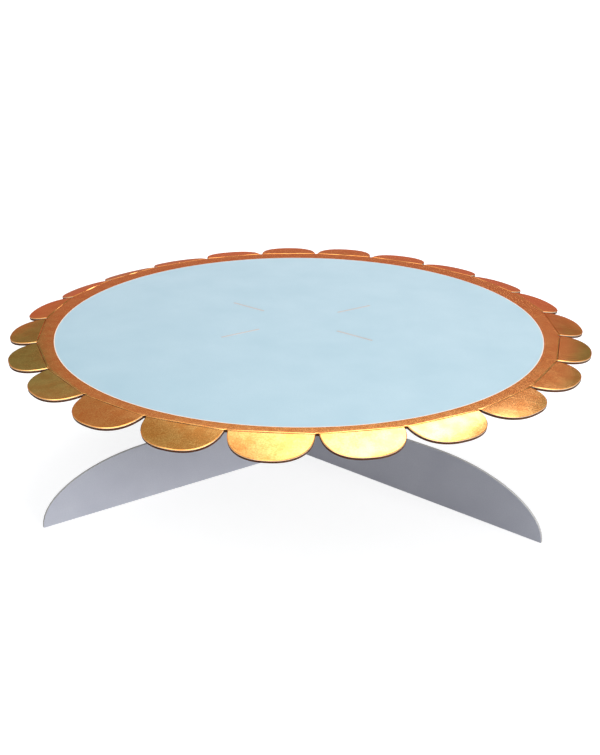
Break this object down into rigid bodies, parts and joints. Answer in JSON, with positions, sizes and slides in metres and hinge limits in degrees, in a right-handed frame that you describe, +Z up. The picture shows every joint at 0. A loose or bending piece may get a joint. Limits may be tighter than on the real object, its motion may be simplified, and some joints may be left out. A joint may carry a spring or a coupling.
{
  "type": "cake stand",
  "caption": "Flat-pack card cake stand: round blue-faced plate with a gold foil rim and fold-down scalloped petals, on two crossed slotted leg boards.",
  "frame": {"origin": "on the table, on the foot edge of the lower leg board, straight under the middle of the plate where the two leg boards cross", "axes": "+Z up through the plate's face; -Y is the front, midway between the two front legs; X runs across the front"},
  "size_m": [0.2986, 0.2984, 0.078],
  "materials": {
    "blue_paper": "satin",
    "gold_foil": "satin",
    "grey_board": "matte",
    "white_paper": "satin",
    "leg_paper": "satin",
    "foil_card": "satin"
  },
  "bodies": {
    "lower_leg": {"lower_leg_core": "grey_board", "lower_leg_front_paper": "leg_paper", "lower_leg_back_paper": "leg_paper"},
    "upper_leg": {"upper_leg_core": "grey_board", "upper_leg_front_paper": "leg_paper", "upper_leg_back_paper": "leg_paper"},
    "plate": {"plate_core": "grey_board", "plate_backing_paper": "white_paper", "gold_foil_rim": "gold_foil", "blue_face_paper": "blue_paper"},
    "petal_01": {"petal_01": "foil_card"},
    "petal_02": {"petal_02": "foil_card"},
    "petal_03": {"petal_03": "foil_card"},
    "petal_04": {"petal_04": "foil_card"},
    "petal_05": {"petal_05": "foil_card"},
    "petal_06": {"petal_06": "foil_card"},
    "petal_07": {"petal_07": "foil_card"},
    "petal_08": {"petal_08": "foil_card"},
    "petal_09": {"petal_09": "foil_card"},
    "petal_10": {"petal_10": "foil_card"},
    "petal_11": {"petal_11": "foil_card"},
    "petal_12": {"petal_12": "foil_card"},
    "petal_13": {"petal_13": "foil_card"},
    "petal_14": {"petal_14": "foil_card"},
    "petal_15": {"petal_15": "foil_card"},
    "petal_16": {"petal_16": "foil_card"},
    "petal_17": {"petal_17": "foil_card"},
    "petal_18": {"petal_18": "foil_card"},
    "petal_19": {"petal_19": "foil_card"},
    "petal_20": {"petal_20": "foil_card"},
    "petal_21": {"petal_21": "foil_card"},
    "petal_22": {"petal_22": "foil_card"},
    "petal_23": {"petal_23": "foil_card"}
  },
  "joints": [
    {"name": "upper_leg_lift", "type": "slide", "parent": "lower_leg", "child": "upper_leg", "axis": [0, 0, 1], "range_m": [0, 0.08]},
    {"name": "plate_lift", "type": "slide", "parent": "upper_leg", "child": "plate", "axis": [0, 0, 1], "range_m": [0, 0.05]},
    {"name": "petal_01_fold", "type": "hinge", "parent": "plate", "child": "petal_01", "pos_m": [-0.00467, -0.13366, 0.0765], "axis": [0.9994, -0.0349, 0], "range_deg": [-16.27, 68.73]},
    {"name": "petal_02_fold", "type": "hinge", "parent": "plate", "child": "petal_02", "pos_m": [0.03157, -0.12996, 0.0765], "axis": [0.9717, 0.236, 0], "range_deg": [-13.82, 71.18]},
    {"name": "petal_03_fold", "type": "hinge", "parent": "plate", "child": "petal_03", "pos_m": [0.06546, -0.11663, 0.0765], "axis": [0.872, 0.4894, 0], "range_deg": [-8.68, 76.32]},
    {"name": "petal_04_fold", "type": "hinge", "parent": "plate", "child": "petal_04", "pos_m": [0.0945, -0.09464, 0.0765], "axis": [0.7076, 0.7066, 0], "range_deg": [-3.76, 81.24]},
    {"name": "petal_05_fold", "type": "hinge", "parent": "plate", "child": "petal_05", "pos_m": [0.11653, -0.06564, 0.0765], "axis": [0.4908, 0.8713, 0], "range_deg": [-1.8, 83.2]},
    {"name": "petal_06_fold", "type": "hinge", "parent": "plate", "child": "petal_06", "pos_m": [0.12992, -0.03176, 0.0765], "axis": [0.2375, 0.9714, 0], "range_deg": [-3.67, 81.33]},
    {"name": "petal_07_fold", "type": "hinge", "parent": "plate", "child": "petal_07", "pos_m": [0.13367, 0.00446, 0.0765], "axis": [-0.0334, 0.9994, 0], "range_deg": [-7.84, 77.16]},
    {"name": "petal_08_fold", "type": "hinge", "parent": "plate", "child": "petal_08", "pos_m": [0.12751, 0.04036, 0.0765], "axis": [-0.3018, 0.9534, 0], "range_deg": [-11.37, 73.63]},
    {"name": "petal_09_fold", "type": "hinge", "parent": "plate", "child": "petal_09", "pos_m": [0.11189, 0.07327, 0.0765], "axis": [-0.5478, 0.8366, 0], "range_deg": [-11.81, 73.19]},
    {"name": "petal_10_fold", "type": "hinge", "parent": "plate", "child": "petal_10", "pos_m": [0.08797, 0.10074, 0.0765], "axis": [-0.7532, 0.6578, 0], "range_deg": [-8.77, 76.23]},
    {"name": "petal_11_fold", "type": "hinge", "parent": "plate", "child": "petal_11", "pos_m": [0.05753, 0.12074, 0.0765], "axis": [-0.9027, 0.4302, 0], "range_deg": [-4.17, 80.83]},
    {"name": "petal_12_fold", "type": "hinge", "parent": "plate", "child": "petal_12", "pos_m": [0.02282, 0.13178, 0.0765], "axis": [-0.9853, 0.1707, 0], "range_deg": [-1, 84]},
    {"name": "petal_13_fold", "type": "hinge", "parent": "plate", "child": "petal_13", "pos_m": [-0.01358, 0.13305, 0.0765], "axis": [-0.9948, -0.1015, 0], "range_deg": [-1.49, 83.51]},
    {"name": "petal_14_fold", "type": "hinge", "parent": "plate", "child": "petal_14", "pos_m": [-0.04897, 0.12446, 0.0765], "axis": [-0.9306, -0.3661, 0], "range_deg": [-5.57, 79.43]},
    {"name": "petal_15_fold", "type": "hinge", "parent": "plate", "child": "petal_15", "pos_m": [-0.08073, 0.10663, 0.0765], "axis": [-0.7973, -0.6036, 0], "range_deg": [-11.01, 74]},
    {"name": "petal_16_fold", "type": "hinge", "parent": "plate", "child": "petal_16", "pos_m": [-0.10651, 0.08089, 0.0765], "axis": [-0.6048, -0.7963, 0], "range_deg": [-14.7, 70.3]},
    {"name": "petal_17_fold", "type": "hinge", "parent": "plate", "child": "petal_17", "pos_m": [-0.12438, 0.04916, 0.0765], "axis": [-0.3676, -0.93, 0], "range_deg": [-14.7, 70.3]},
    {"name": "petal_18_fold", "type": "hinge", "parent": "plate", "child": "petal_18", "pos_m": [-0.13303, 0.01378, 0.0765], "axis": [-0.103, -0.9947, 0], "range_deg": [-11.36, 73.64]},
    {"name": "petal_19_fold", "type": "hinge", "parent": "plate", "child": "petal_19", "pos_m": [-0.13182, -0.02262, 0.0765], "axis": [0.1692, -0.9856, 0], "range_deg": [-7.13, 77.87]},
    {"name": "petal_20_fold", "type": "hinge", "parent": "plate", "child": "petal_20", "pos_m": [-0.12082, -0.05735, 0.0765], "axis": [0.4288, -0.9034, 0], "range_deg": [-4.94, 80.06]},
    {"name": "petal_21_fold", "type": "hinge", "parent": "plate", "child": "petal_21", "pos_m": [-0.10087, -0.08782, 0.0765], "axis": [0.6566, -0.7542, 0], "range_deg": [-6.34, 78.66]},
    {"name": "petal_22_fold", "type": "hinge", "parent": "plate", "child": "petal_22", "pos_m": [-0.07344, -0.11178, 0.0765], "axis": [0.8358, -0.5491, 0], "range_deg": [-10.52, 74.48]},
    {"name": "petal_23_fold", "type": "hinge", "parent": "plate", "child": "petal_23", "pos_m": [-0.04056, -0.12745, 0.0765], "axis": [0.9529, -0.3032, 0], "range_deg": [-14.77, 70.23]}
  ]
}
